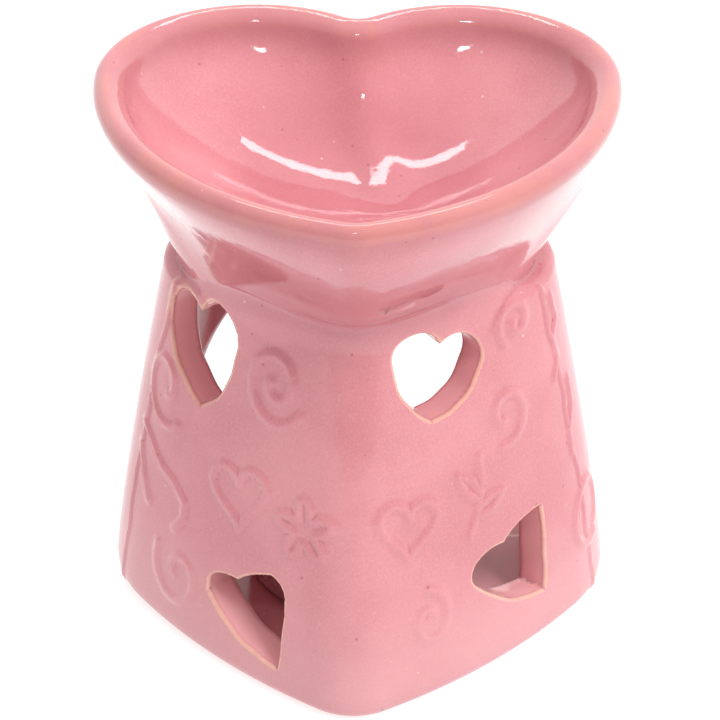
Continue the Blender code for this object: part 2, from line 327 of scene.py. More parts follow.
def arc_loop(arcs, steps=12):
    """A closed chain of points along arcs; each arc starts at (u, v) and bulges outwards, clockwise."""
    points = []
    for (u, v, bulge), (u2, v2, _) in zip(arcs, arcs[1:] + arcs[:1]):
        du, dv = u2 - u, v2 - v
        span = math.hypot(du, dv)
        for t in np.arange(steps) / steps:
            out = 4 * bulge * t * (1 - t) / span
            points.append((u + du * t - dv * out, v + dv * t + du * out))
    return np.array(points)


def loop_distance(u, v, loop):
    """Signed distance in the plane from a closed chain of points, negative inside."""
    inside = np.zeros(u.shape, bool)
    for (ax, ay), (bx, by) in zip(loop, np.roll(loop, -1, 0)):
        if ay != by:
            inside ^= ((ay > v) != (by > v)) & (u < ax + (v - ay) * (bx - ax) / (by - ay))
    return segments_distance(u, v, loop, True) * np.where(inside, -1.0, 1.0)


class HeartCut:
    """A heart-shaped bar that lies on the wall and is drawn out along the knife's direction."""

    def __init__(self, across, z, width, height, turn, lean, dip, arcs=()):
        point, side, up, _, normal = wall_frame(across, z)
        angle = math.radians(dip)
        knife = -normal * math.cos(angle) - np.array([0.0, 0.0, math.sin(angle)])
        self.point = point
        self.to_local = np.linalg.inv(np.stack([side, up, knife], 1))
        self.shape = [v * width for v in HEART_SHAPE]
        self.tall = height / HEART_TALL / width
        self.lean = lean
        self.spin = math.cos(math.radians(turn)), math.sin(math.radians(turn))
        self.reach = max(width, height) * 0.62 + 1.5
        self.loop = arc_loop(arcs)

    def distance(self, p):
        """Signed distance to the bar's side, negative inside it."""
        u, v, _ = self.to_local @ (p - self.point).T
        if len(self.loop):
            wander = 0.10 * np.sin(5 * np.arctan2(v, u) + self.point[0])
            return loop_distance(u, v, self.loop) + wander
        c, s = self.spin
        u, v = c * u + s * v, -s * u + c * v
        u = u + self.lean * v
        turn = np.arctan2(v, u)
        wander = 0.16 * np.sin(3 * turn + self.point[0]) + 0.07 * np.sin(8 * turn + self.point[2])
        return plan_distance(u, v / self.tall, self.shape) + wander


HEARTS = [HeartCut(*values, arcs=FREEHAND.get(i, ())) for i, values in enumerate(HEART_CUTS)]


# ---- Raised ornament ------------------------------------------------------------------------------
def curl(start, end, inner, outer, tall=1.0, n=26):
    """A spiral stroke from its middle outwards, as (n, 2) sideways and upward millimetres."""
    t = np.linspace(0, 1, n)
    angle = np.radians(start + (end - start) * t)
    r = inner + (outer - inner) * t**0.9
    return np.stack([r * np.cos(angle), tall * r * np.sin(angle)], 1)


def small_heart(size):
    """A closed heart stroke, that many millimetres wide."""
    t = np.linspace(0, 2 * math.pi, 25)[:-1]
    u = 16 * np.sin(t) ** 3
    v = 13 * np.cos(t) - 5 * np.cos(2 * t) - 2 * np.cos(3 * t) - np.cos(4 * t)
    loop = np.stack([u, v], 1) * size / 32
    return np.vstack([loop, loop[:1]])


def flower(size):
    """A closed stroke with five petals."""
    t = np.linspace(0, 2 * math.pi, 41)
    r = size * (0.72 + 0.28 * np.cos(5 * t))
    return np.stack([r * np.sin(t), r * np.cos(t)], 1)


def sprig(size):
    """A stem and two leaves."""
    stem = np.array([[-0.25, -1.0], [0.02, -0.35], [0.1, 0.3], [0.0, 1.0]])
    left = np.array([[0.05, -0.1], [-0.4, 0.15], [-0.62, 0.62], [-0.18, 0.42], [0.08, 0.1]])
    right = np.array([[0.0, -0.5], [0.45, -0.42], [0.75, 0.0], [0.3, -0.08], [0.04, -0.3]])
    return [stem * size, left * size, right * size]


# across, z, height of the stroke, half width, strokes
ORNAMENT = (
    (-11.9, 50.3, 0.36, 0.85, [curl(-200, 320, 0.9, 5.6, 1.25)]),
    (24.4, 56.0, 0.36, 0.78, [curl(-150, 235, 0.7, 3.6, 1.15)]),
    (23.2, 41.8, 0.36, 0.85, [curl(250, -95, 1.1, 4.6, 1.15)]),
    (12.0, 14.0, 0.28, 0.85, [curl(60, 455, 1.0, 4.2, 1.2)]),
    (-28.5, 11.9, 0.42, 0.85, [curl(200, -215, 1.0, 6.2, 1.05)]),
    (
        -30.6, 23.0, 0.48, 0.85,
        [
            np.array([
                [-5.7, 11.5], [-3.0, 8.6], [-0.6, 5.4], [2.8, 3.2], [5.1, 0.5], [4.6, -2.2], [2.4, -4.5],
            ]),
            np.array([[-6.9, 7.4], [-6.0, 3.0], [-4.5, -1.6]]),
        ],
    ),
    (-30.0, 42.0, 0.42, 0.80, [curl(-60, 300, 1.4, 5.4, 1.35)]),
    (37.4, 16.4, 0.45, 0.85, [curl(-30, 320, 3.6, 4.6, 1.35)]),
    (30.2, 50.5, 0.40, 0.65, [np.array([[-0.6, 6.0], [1.4, 2.4], [0.2, -0.6], [2.2, -4.0], [1.6, -7.5]])]),
    (33.6, 34.0, 0.40, 0.65, [np.array([[-0.8, 7.5], [0.8, 3.0], [0.2, -1.5], [1.8, -5.5]])]),
    (-17.8, 31.0, 0.34, 0.82, [small_heart(11.0)]),
    (-7.4, 29.6, 0.32, 0.78, [flower(5.0)]),
    (8.6, 30.0, 0.31, 0.82, [small_heart(10.2)]),
    (19.2, 30.6, 0.32, 0.85, sprig(6.4)),
)


class Relief:
    """Rounded strokes that stand out from the front wall."""

    def __init__(self, across, z, height, width, strokes):
        self.point, side, up, out, _ = wall_frame(across, z)
        self.axes = np.stack([side, up, out])
        self.height, self.width, self.strokes = height, width, strokes
        self.reach = max(np.abs(stroke).max() for stroke in strokes) + 3 * width

    def height_at(self, p):
        u, v, _ = self.axes @ (p - self.point).T
        best = np.full(len(u), 1e6)
        for stroke in self.strokes:
            best = np.minimum(best, segments_distance(u, v, stroke, False))
        return self.height * np.exp(-((best / self.width) ** 2))


RELIEFS = [Relief(*values) for values in ORNAMENT]
SEAM_Y, SEAM_HEIGHT, SEAM_WIDTH, SEAM_FROM_X = 1.4, 0.34, 0.42, 20.0
# The relief is worked out only this near to the wall
RELIEF_REACH = 2.5


def raised(p):
    """How far the ornament and the mould's seam stand out from the stand's wall."""
    result = np.zeros(len(p))
    for relief in RELIEFS:
        near = np.abs(p - relief.point).max(1) < relief.reach
        if near.any():
            result[near] = np.maximum(result[near], relief.height_at(p[near]))
    x, y, z = p.T
    wander = SEAM_Y + 0.25 * np.sin(z * 0.31 + 1.0) + 0.12 * np.sin(z * 0.83)
    seam = SEAM_HEIGHT * np.exp(-(((y - wander) / SEAM_WIDTH) ** 2)) * (np.abs(x) > SEAM_FROM_X)
    return np.maximum(result, seam)


# ---- The whole body -------------------------------------------------------------------------------
def arch_distance(x, y, z):
    """The back doorway: upright sides and a round head, open from inside the chamber to the back."""
    head = ARCH_TOP_Z - ARCH_HALF
    side = np.where(z > head, np.hypot(x, z - head), np.abs(x)) - ARCH_HALF
    return meet(meet(side, FLOOR_TOP - z, 0.0), ARCH_START_Y - y, 0.0)


def flare(x, y, z, sideways):
    """Plan distance from the dish's underside, flush with the stand in front and set back at its sides."""
    t = np.clip((z - NECK_Z) / (RIM_Z - NECK_Z), -0.3, 1.5)
    # Levels off smoothly at the rim
    t = np.where(t > 0.95, np.where(t > 1.05, 1.0, t - (t - 0.95) ** 2 / 0.20), t)
    cubic_term, square_term, linear_term = WIDENING
    share = ((cubic_term * t + square_term) * t + linear_term) * t
    outline = blend(NECK, RIM, share)
    outline[3:5] = blend(NECK[3:5], RIM[3:5], t + POINT_LEAD * t * (1 - t))
    height_share = np.clip(t, 0, 1)
    middle = (4 * height_share * (1 - height_share)) ** 2
    return plan_distance(x - MIDDLE_LEAN * middle, y, outline) + SEAT_INSET * sideways * (1 - share)


def dish_distance(x, y, z):
    """The dish on its own: flared underside, rounded lip and bowl."""
    x, y = (
        math.cos(DISH_SPIN) * x + math.sin(DISH_SPIN) * y,
        math.cos(DISH_SPIN) * y - math.sin(DISH_SPIN) * x,
    )
    sideways = smooth(*SIDES, np.abs(x))
    outer = flare(x, y, z, sideways)
    lean = (flare(x, y, z + 0.2, sideways) - outer) / 0.2
    outer = outer / np.sqrt(1 + lean**2)
    body = meet(outer, z - HEIGHT, LIP_R)
    surface = (z - cubic(BOWL_HEIGHT, x, y)) * cubic(BOWL_COSINE, x, y)
    body = meet(body, surface, LIP_R)
    return np.maximum(body, NECK_Z - BELLY_DEPTH - z)


def stand_outside(x, wall, z):
    """The stand as if it were solid, from its distance to the wall."""
    sideways = smooth(*SIDES, np.abs(x))
    shoulder_r = SHOULDER_R - (SHOULDER_R - SHELF_R) * sideways
    body = meet(wall, z - NECK_Z + SHELF_DROP * sideways, shoulder_r)
    return meet(body, -z, FOOT_ROUND)


def field(p):
    """Signed distance to the glazed ceramic at an (n, 3) array of points, about right near its surface."""
    x, y, z = p.T
    wall = wall_distance(x, y, z)
    outer = wall.copy()
    close = np.abs(wall) < RELIEF_REACH
    outer[close] -= raised(p[close])
    far = np.abs(x)
    fillet = FILLET_R + FILLET_GAIN * smooth(3.0, 13.0, far) - FILLET_LOSS * smooth(14.0, 27.0, far)
    solid = join(stand_outside(x, outer, z), dish_distance(x, y, z), fillet)
    chamber = meet(wall + WALL, FLOOR_TOP - z, CHAMBER_FLOOR_R)
    chamber = meet(chamber, z - CEILING_Z, CHAMBER_CEILING_R)
    solid = meet(solid, -chamber, CHAMBER_EDGE_R)
    foot = wall_distance(x, y, np.zeros_like(z)) + FOOT_ROUND + FOOT_WIDTH
    solid = meet(solid, -meet(foot, z - FOOT_RECESS, RECESS_R), RECESS_EDGE_R)
    for heart in HEARTS:
        near = np.abs(p - heart.point).max(1) < heart.reach + 9.0
        if near.any():
            cut = heart.distance(p[near])
            solid[near] = meet(solid[near], -cut, CUT_R)
    solid = meet(solid, -arch_distance(x, y, z), ARCH_R)
    return solid


def openings_distance(p):
    """How far points are from the side of the nearest heart or of the doorway."""
    near = np.abs(arch_distance(*p.T))
    for heart in HEARTS:
        near = np.minimum(near, np.abs(heart.distance(p)))
    return near


# ---- From field to mesh ---------------------------------------------------------------------------
def sampled_field(low, high, cell):
    """field() on a grid, exact in the blocks near its zero and only its sign elsewhere."""
    counts = [int(math.ceil((b - a) / (cell * BLOCK))) for a, b in zip(low, high)]
    coarse = [low[i] + cell * BLOCK * np.arange(counts[i] + 1) for i in range(3)]
    points = np.stack(np.meshgrid(*coarse, indexing="ij"), -1).reshape(-1, 3)
    rough = field(points).reshape([n + 1 for n in counts])
    near = np.zeros(counts, bool)
    for i, j, k in product((0, 1), repeat=3):
        corner = rough[i : i + counts[0], j : j + counts[1], k : k + counts[2]]
        near |= np.abs(corner) < cell * BLOCK * 1.25
    shape = [n * BLOCK + 1 for n in counts]
    values = np.full(shape, 1.0)
    filled = rough < 0
    for axis in range(3):
        filled = np.repeat(filled, BLOCK, axis)
    values[filled[: shape[0], : shape[1], : shape[2]]] = -1.0
    exact = np.zeros(shape, bool)
    for block in np.argwhere(near):
        exact[tuple(slice(n * BLOCK, (n + 1) * BLOCK + 1) for n in block)] = True
    index = np.argwhere(exact)
    found = np.empty(len(index))
    for start in range(0, len(index), POINTS_AT_ONCE):
        part = slice(start, start + POINTS_AT_ONCE)
        found[part] = field(low + cell * index[part])
    values[exact] = found
    return values, exact


def surface_net(low, high, cell):
    """Quads along the zero of field() inside a box, and their corners."""
    low = np.array(low)
    values, wanted = sampled_field(low, high, cell)
    cells = [n - 1 for n in values.shape]
    crossings = []
    for axis in range(3):
        a = [slice(None)] * 3
        b = [slice(None)] * 3
        a[axis], b[axis] = slice(0, -1), slice(1, None)
        first, second = values[tuple(a)], values[tuple(b)]
        hit = np.argwhere(((first < 0) != (second < 0)) & wanted[tuple(a)] & wanted[tuple(b)])
        f0, f1 = first[tuple(hit.T)], second[tuple(hit.T)]
        place = hit.astype(float)
        place[:, axis] += f0 / (f0 - f1)
        crossings.append((axis, hit, place, f0 < 0))

    keys, places, quads = [], [], []
    for axis, hit, place, rising in crossings:
        u, v = (axis + 1) % 3, (axis + 2) % 3
        around = []
        for du, dv in ((0, 0), (-1, 0), (-1, -1), (0, -1)):
            cell_at = hit.copy()
            cell_at[:, u] += du
            cell_at[:, v] += dv
            around.append((cell_at[:, 0] * cells[1] + cell_at[:, 1]) * cells[2] + cell_at[:, 2])
            keys.append(around[-1])
            places.append(place)
        loop = np.stack(around, 1)
        loop[~rising] = loop[~rising][:, ::-1]
        quads.append(loop)
    keys, places = np.concatenate(keys), np.concatenate(places)
    unique, inverse, counted = np.unique(keys, return_inverse=True, return_counts=True)
    corners = np.stack([np.bincount(inverse, places[:, i]) for i in range(3)], 1) / counted[:, None]
    faces = np.searchsorted(unique, np.concatenate(quads))
    return low + cell * corners, faces


def gradient(p, h):
    """Slope of field() at points, measured over h each way."""
    result = np.empty_like(p)
    for axis in range(3):
        step = np.zeros(3)
        step[axis] = h
        result[:, axis] = (field(p + step) - field(p - step)) / (2 * h)
    return result


def settle(p, rounds=3):
    """Moves points onto the exact surface."""
    for _ in range(rounds):
        g = gradient(p, 0.04)
        size = np.maximum((g**2).sum(1), 0.25)
        step = field(p) / size
        p = p - np.clip(step, -0.4, 0.4)[:, None] * g
    return p


def bend(p, h=0.4):
    """Twice the mean curvature per mm: positive on outside edges, negative in corners."""
    middle = field(p)
    total = -6 * middle
    for axis in range(3):
        step = np.zeros(3)
        step[axis] = h
        total = total + field(p + step) + field(p - step)
    return total / h**2


def refine(corners, faces, chosen):
    """Splits the chosen faces in four, and their neighbours to suit."""
    shape = bmesh.new()
    points = [shape.verts.new(p) for p in corners.tolist()]
    made = [shape.faces.new([points[i] for i in face]) for face in faces.tolist()]
    shape.edges.index_update()
    split = {edge.index for face, wanted in zip(made, chosen.tolist()) if wanted for edge in face.edges}
    edges = [edge for edge in shape.edges if edge.index in split]
    bmesh.ops.subdivide_edges(shape, edges=edges, cuts=1, use_grid_fill=True)
    shape.verts.index_update()
    corners = np.array([v.co[:] for v in shape.verts])
    faces = [[v.index for v in face.verts] for face in shape.faces]
    shape.free()
    return corners, faces


def add_object(name, data):
    """A new object in the scene."""
    obj = bpy.data.objects.new(name, data)
    bpy.context.scene.collection.objects.link(obj)
    return obj


def mesh_object(name, corners, faces, normals, values):
    """A smooth object from shared arrays, keeping only the corners that its faces use."""
    used, flat = np.unique(np.concatenate(faces), return_inverse=True)
    ends = np.cumsum([len(face) for face in faces])
    mesh = bpy.data.meshes.new(name)
    parts = [part.tolist() for part in np.split(flat, ends[:-1])]
    mesh.from_pydata((corners[used] * MM).tolist(), [], parts)
    mesh.shade_smooth()
    for key, value in values.items():
        layer = mesh.attributes.new(key, "FLOAT", "POINT")
        layer.data.foreach_set("value", value[used].astype(np.float32))
    mesh.normals_split_custom_set_from_vertices(normals[used].tolist())
    mesh.update()
    return add_object(name, mesh)


def open_loops(faces):
    """The loops of corners round the open ends of a set of faces, longest first."""
    edges = {(a, b) for face in faces for a, b in zip(face, [*face[1:], face[0]])}
    following = {a: b for a, b in edges if (b, a) not in edges}
    loops = []
    while following:
        start, corner = following.popitem()
        loop = [start]
        while corner != start:
            loop.append(corner)
            corner = following.pop(corner)
        loops.append(loop)
    return sorted(loops, key=len, reverse=True)


def bridge(corners, outer, inner):
    """Triangles that close the ring between two loops, always by the shorter way across."""
    inner = inner[::-1]
    nearest = int(np.argmin(np.linalg.norm(corners[inner] - corners[outer[0]], axis=1)))
    inner = inner[nearest:] + inner[:nearest]
    outer, inner = [*outer, outer[0]], [*inner, inner[0]]

    def apart(a, b):
        return np.linalg.norm(corners[a] - corners[b])

    i, j, triangles = 0, 0, []
    while i < len(outer) - 1 or j < len(inner) - 1:
        if j == len(inner) - 1:
            outer_next = True
        elif i == len(outer) - 1:
            outer_next = False
        else:
            outer_next = apart(outer[i + 1], inner[j]) < apart(outer[i], inner[j + 1])
        if outer_next:
            triangles.append([outer[i + 1], outer[i], inner[j]])
            i += 1
        else:
            triangles.append([inner[j], inner[j + 1], outer[i]])
            j += 1
    return triangles


def needs_detail(corners):
    """Which corners lie on the relief or on a tight edge that shows."""
    wall = wall_distance(*corners.T)
    relief = np.where(np.abs(wall) < 1.2, raised(corners), 0.0)
    inner_edge = (np.abs(wall + WALL) < 0.9) & (corners[:, 1] < 0)
    shows = ((wall > -2.5) | inner_edge) & (corners[:, 2] < DISH_FROM_Z)
    return ((bend(corners) > 0.85) | (relief > 0.09)) & shows


def glaze_masks(corners):
    """What the glaze has to know at each corner. All but edge, which is a bend, run from 0 to 1."""
    depth = -wall_distance(*corners.T)
    high = corners[:, 2]
    middle = 1 - smooth(13.0, 27.0, np.abs(corners[:, 0]))
    return {
        "edge": bend(corners, 0.3),
        "knife": 1 - smooth(0.9, 1.8, openings_distance(corners)),
        # lip: the rim, where painted shade darkens the glaze and thin glaze warms its edges
        "lip": smooth(83.0, 88.0, high),
        # neck: where painted shade darkens the dish's underside and the joint below it
        "neck": smooth(57.0, 65.0, high) * (1 - smooth(74.0, 83.0, high)) * middle,
        # foot: where a painted reflection of the pale floor lightens the lower wall
        "foot": 1 - smooth(4.0, 22.0, high),
        # cut: the sides of the heart cuts, lightened there as painted light
        "cut": smooth(0.4, 1.0, depth) * (1 - smooth(WALL - 1.2, WALL - 0.3, depth)) * (high < 58.5),
        # inside: the chamber's walls, darkened there as painted shade
        "inside": smooth(WALL - 1.2, WALL - 0.4, depth) * (high < CEILING_Z + 0.5),
    }


def belongs_to_dish(x, y, z):
    """Whether places on the surface are the dish's: outside where it is nearer, inside the whole ceiling."""
    wall = wall_distance(x, y, z)
    outside = dish_distance(x, y, z) < stand_outside(x, wall, z)
    ceiling = wall < -WALL * 0.8
    return (outside | ceiling) & (z > CEILING_Z - 1.2)


def build_ceramic():
    """The stand and the dish, closed where they meet by a ring of faces that they share."""
    corners, faces = surface_net(NET_LOW, NET_HIGH, CELL)
    corners = settle(corners)
    corners, faces = refine(corners, faces, needs_detail(corners)[faces].any(1))
    corners = settle(corners)
    slope = gradient(corners, 0.05)
    normals = slope / np.maximum(np.linalg.norm(slope, axis=1), 1e-6)[:, None]
    masks = glaze_masks(corners)
    centres = np.array([corners[face].mean(0) for face in faces])
    on_dish = belongs_to_dish(*centres.T).tolist()
    stand_faces = [face for face, yes in zip(faces, on_dish) if not yes]
    dish_faces = [face for face, yes in zip(faces, on_dish) if yes]
    joint = bridge(corners, *open_loops(stand_faces))
    stand_faces += joint
    dish_faces += [face[::-1] for face in joint]
    return (
        mesh_object("glazed_stand", corners, stand_faces, normals, masks),
        mesh_object("glazed_dish", corners, dish_faces, normals, masks),
    )


stand, dish = build_ceramic()
for piece, node in ((stand, "burner_stand"), (dish, "wax_dish")):
    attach(piece, "burner")
    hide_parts(node)


# ---- Materials ------------------------------------------------------------------------------------
def add_node(tree, kind, inputs=(), **settings):
    """A new node. Inputs, by name or number, are linked when given a socket and set when given a value."""
    node = tree.nodes.new(kind)
    for key, value in settings.items():
        setattr(node, key, value)
    for key, value in dict(inputs).items():
        if isinstance(value, bpy.types.NodeSocket):
            tree.links.new(value, node.inputs[key])
        else:
            node.inputs[key].default_value = value
    return node


def add_ramp(tree, value, low, high, start, end):
    """A soft step from start, where the value is low, to end, where it is high."""
    inputs = {"Value": value, "From Min": low, "From Max": high, "To Min": start, "To Max": end}
    return add_node(tree, "ShaderNodeMapRange", inputs, interpolation_type="SMOOTHSTEP").outputs["Result"]


def grey(value):
    return value, value, value


# Sockets of a colour Mix node, by number, as each name is used for several types
MIX_FACTOR, MIX_FIRST, MIX_SECOND, MIX_RESULT = 0, 6, 7, 2


class Look:
    """A procedural material under construction, its textures measured in millimetres."""

    def __init__(self, name, inputs=()):
        self.material = bpy.data.materials.new(name)
        self.material.use_nodes = True
        self.tree = self.material.node_tree
        self.shader = self.tree.nodes["Principled BSDF"]
        for key, value in dict(inputs).items():
            self.shader.inputs[key].default_value = value
        place = self.node("ShaderNodeTexCoord").outputs["Object"]
        scale = self.node("ShaderNodeMapping", {"Vector": place, "Scale": grey(1 / MM)})
        self.millimetres = scale.outputs["Vector"]

    def node(self, kind, inputs=(), **settings):
        return add_node(self.tree, kind, inputs, **settings)

    def attribute(self, name):
        return self.node("ShaderNodeAttribute", attribute_name=name).outputs["Fac"]

    def noise(self, scale, detail=2.0, roughness=0.5):
        inputs = {"Vector": self.millimetres, "Scale": scale, "Detail": detail, "Roughness": roughness}
        return self.node("ShaderNodeTexNoise", inputs).outputs["Fac"]

    def cells(self, scale, randomness=1.0):
        inputs = {"Vector": self.millimetres, "Scale": scale, "Randomness": randomness}
        return self.node("ShaderNodeTexVoronoi", inputs)

    def ramp(self, value, low, high, start=0.0, end=1.0):
        return add_ramp(self.tree, value, low, high, start, end)

    def math(self, operation, first, second):
        return self.node("ShaderNodeMath", {0: first, 1: second}, operation=operation).outputs[0]

    def mix(self, share, first, second):
        """A colour between two, each a socket or red, green and blue."""
        inputs = {MIX_FACTOR: share}
        for socket, colour in ((MIX_FIRST, first), (MIX_SECOND, second)):
            inputs[socket] = colour if isinstance(colour, bpy.types.NodeSocket) else (*colour, 1.0)
        return self.node("ShaderNodeMix", inputs, data_type="RGBA").outputs[MIX_RESULT]

    def tint(self, colour, mask, share, shade):
        """The colour, changed towards a shade where a mask is up."""
        return self.mix(self.math("MULTIPLY", mask, share), colour, shade)

    def bump(self, height, distance, strength=1.0, under=None):
        inputs = {"Height": height, "Distance": distance, "Strength": strength}
        if under is not None:
            inputs["Normal"] = under
        return self.node("ShaderNodeBump", inputs).outputs["Normal"]

    def finish(self, colour=None, roughness=None, normal=None):
        for key, value in (("Base Color", colour), ("Roughness", roughness), ("Normal", normal)):
            if value is not None:
                self.tree.links.new(value, self.shader.inputs[key])
        return self.material


def glaze():
    """Pink gloss glaze: thin and creamy on cut edges, deeper where it pools, with a fine speckle; painted
    shade darkens the lip, the underside at the neck and the chamber inside, painted light brightens the cut
    sides and a painted floor reflection lightens the foot.
    """
    look = Look("pink_glaze", {
        "IOR": 1.56,
        "Subsurface Weight": 0.10,
        "Subsurface Radius": (1.0, 0.45, 0.35),
        "Subsurface Scale": 1.2 * MM,
    })
    edge, lip, inside = look.attribute("edge"), look.attribute("lip"), look.attribute("inside")
    cloud = look.noise(0.055, 3.0, 0.55)
    drift = look.noise(0.16, 2.0)
    grain = look.noise(2.6, 3.0, 0.7)
    colour = look.mix(look.ramp(cloud, 0.35, 0.65), (0.590, 0.210, 0.236), (0.645, 0.248, 0.273))
    colour = look.mix(look.ramp(grain, 0.46, 0.74, 0.0, 0.26), colour, (0.76, 0.38, 0.39))
    colour = look.mix(look.ramp(grain, 0.44, 0.26, 0.0, 0.26), colour, (0.49, 0.135, 0.155))
    colour = look.mix(look.ramp(edge, -0.10, -1.1, 0.0, 0.50), colour, (0.50, 0.13, 0.16))
    # Painted shade: the whole lip is darkened towards a deeper pink
    colour = look.tint(colour, lip, 0.42, (0.42, 0.130, 0.150))
    worn = look.ramp(drift, 0.30, 0.62, 0.20, 1.0)
    warm = look.math("MULTIPLY", look.ramp(edge, 0.08, 0.45, 0.0, 0.42), worn)
    colour = look.tint(colour, warm, lip, (0.62, 0.250, 0.190))
    # Painted shade under the dish's overhang, round the neck
    colour = look.tint(colour, look.attribute("neck"), 0.38, (0.36, 0.070, 0.095))
    # Painted reflection of the floor: the lower wall is lightened towards the foot
    colour = look.tint(colour, look.attribute("foot"), 0.30, (0.80, 0.47, 0.48))
    patchy = look.ramp(drift, 0.25, 0.55, 0.30, 1.0)
    thin = look.math("MULTIPLY", look.ramp(edge, 0.60, 1.6, 0.0, 0.75), patchy)
    colour = look.tint(colour, thin, look.attribute("knife"), (0.80, 0.46, 0.34))
    # Painted light: the sides of the heart cuts are lightened
    colour = look.tint(colour, look.attribute("cut"), 0.72, (0.93, 0.49, 0.51))
    # Painted shade: the chamber inside is darkened
    colour = look.tint(colour, inside, 0.30, (0.52, 0.115, 0.14))
    size = look.ramp(look.noise(0.7, 0.0), 0.3, 0.75, 0.02, 0.075)
    light = look.math("LESS_THAN", look.cells(0.34).outputs["Distance"], size)
    light = look.math("MULTIPLY", light, look.math("GREATER_THAN", look.noise(0.27, 0.0), 0.56))
    colour = look.tint(colour, light, 0.45, (0.88, 0.62, 0.58))
    dark = look.math("LESS_THAN", look.cells(0.21).outputs["Distance"], 0.055)
    colour = look.tint(colour, dark, 0.40, (0.24, 0.06, 0.07))
    roughness = look.ramp(look.noise(0.4, 2.0), 0.3, 0.7, 0.03, 0.075)
    roughness = look.math("ADD", roughness, look.math("MULTIPLY", inside, 0.10))
    normal = look.bump(look.noise(0.22, 2.0), 0.12 * MM, 0.55)
    normal = look.bump(look.noise(1.3, 3.0, 0.6), 0.016 * MM, 0.55, normal)
    return look.finish(colour, roughness, normal)


def aluminium():
    """Pressed foil, faintly brushed and uneven."""
    look = Look("aluminium_foil", {"Metallic": 1.0})
    brushed = look.noise(3.0, 4.0, 0.7)
    colour = look.mix(look.ramp(brushed, 0.3, 0.7), (0.70, 0.70, 0.71), (0.86, 0.86, 0.87))
    roughness = look.ramp(look.noise(0.6, 3.0), 0.3, 0.7, 0.20, 0.36)
    return look.finish(colour, roughness, look.bump(brushed, 0.03 * MM, 0.5))


def wax():
    """Translucent white wax with paler flakes."""
    look = Look("paraffin_wax", {
        "IOR": 1.44,
        "Subsurface Weight": 0.35,
        "Subsurface Radius": (1.0, 0.85, 0.65),
        "Subsurface Scale": 3.0 * MM,
    })
    cloud = look.ramp(look.noise(0.35, 4.0, 0.6), 0.3, 0.7)
    flakes = look.ramp(look.cells(0.55).outputs["Distance"], 0.0, 0.7, 0.18, 0.0)
    colour = look.mix(cloud, (0.86, 0.83, 0.76), (0.93, 0.91, 0.86))
    colour = look.mix(flakes, colour, (0.97, 0.96, 0.93))
    roughness = look.ramp(look.noise(0.9, 3.0), 0.3, 0.7, 0.32, 0.55)
    return look.finish(colour, roughness, look.bump(look.noise(0.8, 4.0, 0.65), 0.12 * MM, 0.6))


def tinplate():
    """Grey tinned steel with a fine grain."""
    look = Look("tinplate", {"Metallic": 1.0})
    grain = look.noise(4.0, 3.0, 0.7)
    colour = look.mix(look.ramp(grain, 0.3, 0.7), (0.52, 0.52, 0.50), (0.68, 0.68, 0.66))
    return look.finish(colour, look.ramp(grain, 0.3, 0.7, 0.28, 0.46), look.bump(grain, 0.02 * MM, 0.5))


def cotton():
    """Wick cotton, stiff with wax."""
    look = Look("waxed_cotton", {"Sheen Weight": 0.3})
    fibres = look.noise(5.0, 4.0, 0.75)
    colour = look.mix(look.ramp(fibres, 0.3, 0.7), (0.70, 0.66, 0.56), (0.90, 0.87, 0.79))
    return look.finish(colour, look.ramp(fibres, 0.3, 0.7, 0.55, 0.85), look.bump(fibres, 0.08 * MM, 0.8))


pink = glaze()
stand.data.materials.append(pink)
dish.data.materials.append(pink)


# ---- Tealight, in millimetres until it is meshed --------------------------------------------------
CUP_R, CUP_TAPER, CUP_WALL, CUP_AROUND = 18.7, 0.5, 0.4, 384
CUP_FOOT_R, CUP_BEAD_R = 0.9, 0.36
FLUTES, FLUTE_DEPTH = 48, 0.09
WAX_AROUND, WAX_RINGS = 96, 24
MENISCUS_HEIGHT, MENISCUS_WIDTH = 0.6, 0.9
DIMPLE_DEPTH, DIMPLE_WIDTH = 0.5, 2.2
STRANDS, STRAND_R, STRAND_PITCH, STRAND_OFF = 3, 0.42, 3.2, 0.36
STRAND_AROUND, STRAND_STEPS = 14, 72


def ring(centre, radius, z, n, flute=0.0):
    """Points round a circle whose radius waves in and out by flute."""
    points = []
    for j in range(n):
        angle = 2 * math.pi * j / n
        r = radius + flute * math.cos(FLUTES * angle)
        points.append((centre[0] + r * math.cos(angle), centre[1] + r * math.sin(angle), z))
    return points


def tube_faces(first, steps, n):
    """Quads between rings of n corners each, numbered from first."""
    faces = []
    for i in range(steps):
        a, b = first + i * n, first + (i + 1) * n
        for j in range(n):
            k = (j + 1) % n
            faces.append((a + j, a + k, b + k, b + j))
    return faces


def smooth_object(name, points, faces):
    mesh = bpy.data.meshes.new(name)
    mesh.from_pydata([[v * MM for v in p] for p in points], [], faces)
    mesh.shade_smooth()
    return add_object(name, mesh)


def turned_object(name, loops):
    """A smooth object through rings of points, its first and last rings closed to a point each."""
    around = len(loops[0])
    points = [p for loop in loops for p in loop]
    faces = tube_faces(0, len(loops) - 1, around)
    for i, turn in ((0, 1), (len(loops) - 1, -1)):
        middle = len(points)
        points.append(tuple(sum(p[axis] for p in loops[i]) / around for axis in range(3)))
        for j in range(around):
            k = (j + 1) % around
            faces.append((i * around + k, i * around + j, middle)[::turn])
    return smooth_object(name, points, faces)


def in_millimetres(box):
    """Plan centre, bottom and top of a box."""
    low, high = (np.array(corner) / MM for corner in box)
    return (low[:2] + high[:2]) / 2, low[2], high[2]


